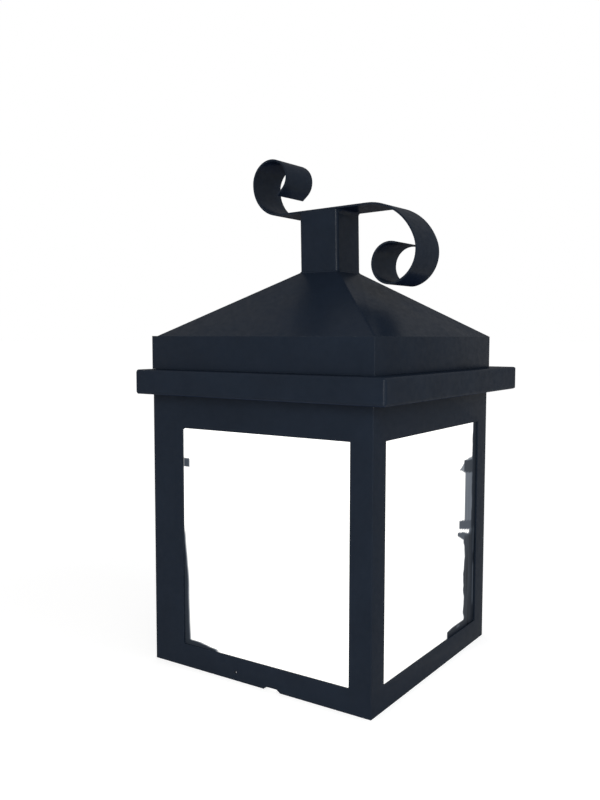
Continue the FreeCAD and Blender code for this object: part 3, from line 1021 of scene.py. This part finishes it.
def make_sealant(name, node, wide):
    """An uneven run of sealant in the node's place, smeared on by hand. wide is the axis along the pane"""
    low, high = corners(node)
    deep = 1 - wide
    columns = 16
    rows = 90
    usual_width = 0.84
    width_waver = 0.16
    usual_height = 0.72
    lump_height = 0.26
    least_height = 0.08
    bm = bmesh.new()
    front, back = [], []
    for i in range(columns + 1):
        share = i / columns
        back_line, front_line = [], []
        for j in range(rows + 1):
            place = Vector((0, 0, low.z + (high.z - low.z) * j / rows))
            place[deep] = low[deep]
            waver = width_waver * noise.noise(Vector((0, 3.0, place.z * 70)))
            place[wide] = high[wide] + (low[wide] - high[wide]) * share * (usual_width + waver)
            back_line.append(bm.verts.new(place))
            lump = noise.noise(Vector((place[wide] * 160, 7.0, place.z * 160)))
            height = max(least_height, (1 - share ** 3) * (usual_height + lump_height * lump))
            place[deep] += (high[deep] - low[deep]) * height
            front_line.append(bm.verts.new(place))
        back.append(back_line)
        front.append(front_line)
    fill_grid(bm, front)
    fill_grid(bm, back)
    rim = grid_rim(columns, rows)
    join_loops(bm, [front[i][j] for i, j in rim], [back[i][j] for i, j in rim])
    keep_piece(name, bm, "sealant", [node])


make_body()
make_skirt()
make_roof()
make_cap_welds()
make_body_welds()
make_pane("frosted_pane_front", "pane_front", front_painted_glow)
make_pane("frosted_pane_left", "pane_left", left_painted_glow)
make_pane("frosted_pane_right", "pane_right", right_painted_glow)
make_lamp()
make_lampholder()
make_sealant("front_sealant_run", "front_pane_sealant", wide=0)
make_sealant("left_sealant_run", "left_pane_sealant", wide=1)


# Studio


def seen_rays(tree):
    """1 for a ray that shows a surface straight, mirrored or through glass, 0 for one that carries light"""
    rays = add_node(tree, "ShaderNodeLightPath")
    seen = combine(tree, "MAXIMUM", rays.outputs["Is Camera Ray"], rays.outputs["Is Glossy Ray"])
    return combine(tree, "MAXIMUM", seen, rays.outputs["Is Transmission Ray"])


def pale_floor():
    """A plain grey floor that glows to the eye, more with distance, so that it runs into the white"""
    made, tree, shader = new_material("pale_floor")
    cloud = grain(tree, object_place(tree), scale=3.0, detail=2.0)
    greys = [(floor_grey + change,) * 3 for change in (-floor_cloud, floor_cloud)]
    drive(tree, shader, "Base Color", shades(tree, cloud, *greys))
    away = add_node(tree, "ShaderNodeVectorMath", operation="LENGTH")
    tree.links.new(object_place(tree, (1, 1, 0)), away.inputs[0])
    glow = span(tree, away.outputs["Value"], floor_near, floor_far, floor_glow_near, floor_glow_far)
    drive(tree, shader, "Emission Strength", combine(tree, "MULTIPLY", seen_rays(tree), glow))
    set_shader(shader, Roughness=0.9, Specular_IOR_Level=0.0, Emission_Color=white)
    return made


def make_floor():
    level = cad_box[0].z
    bm = bmesh.new()
    ends = ((-1, -1), (1, -1), (1, 1), (-1, 1))
    bm.faces.new([bm.verts.new((x * floor_reach, y * floor_reach, level)) for x, y in ends])
    made = mesh_object("floor", bm)
    made.data.materials.append(pale_floor())


def make_world():
    world = bpy.data.worlds.new("studio")
    bpy.context.scene.world = world
    world.use_nodes = True
    tree = world.node_tree
    background = tree.nodes["Background"]
    background.inputs["Color"].default_value = white
    tree.links.new(span(tree, seen_rays(tree), 0.0, 1.0, ambient, 1.0), background.inputs["Strength"])


def add_studio_lamp(name, place, size, watts, colour):
    """A rectangular lamp turned to the part's middle"""
    light = bpy.data.lights.new(name, "AREA")
    light.shape = "RECTANGLE"
    light.size, light.size_y = size
    light.energy = watts
    light.color = colour
    made = add_object(name, light)
    made.location = place
    made.rotation_mode = "QUATERNION"
    middle = (cad_box[0] + cad_box[1]) / 2
    made.rotation_quaternion = (middle - Vector(place)).to_track_quat("-Z", "Y")


def make_camera():
    level = math.cos(camera_pitch)
    forward = Vector((math.sin(camera_yaw) * level, math.cos(camera_yaw) * level, -math.sin(camera_pitch)))
    right = Vector((math.cos(camera_yaw), -math.sin(camera_yaw), 0))
    right = Matrix.Rotation(camera_roll, 3, forward) @ right
    top = right.cross(forward)
    data = bpy.data.cameras.new("camera")
    data.sensor_width = sensor
    data.lens = focal_pixels * sensor / image_height
    data.clip_start = camera_clip
    made = add_object("camera", data)
    axes = Matrix((right, top, -forward)).transposed()
    made.matrix_world = Matrix.Translation(camera_place) @ axes.to_4x4()
    bpy.context.scene.camera = made


make_floor()
make_world()
for lamp in studio_lamps:
    add_studio_lamp(*lamp)
make_camera()
bpy.context.scene.view_settings.view_transform = "Standard"
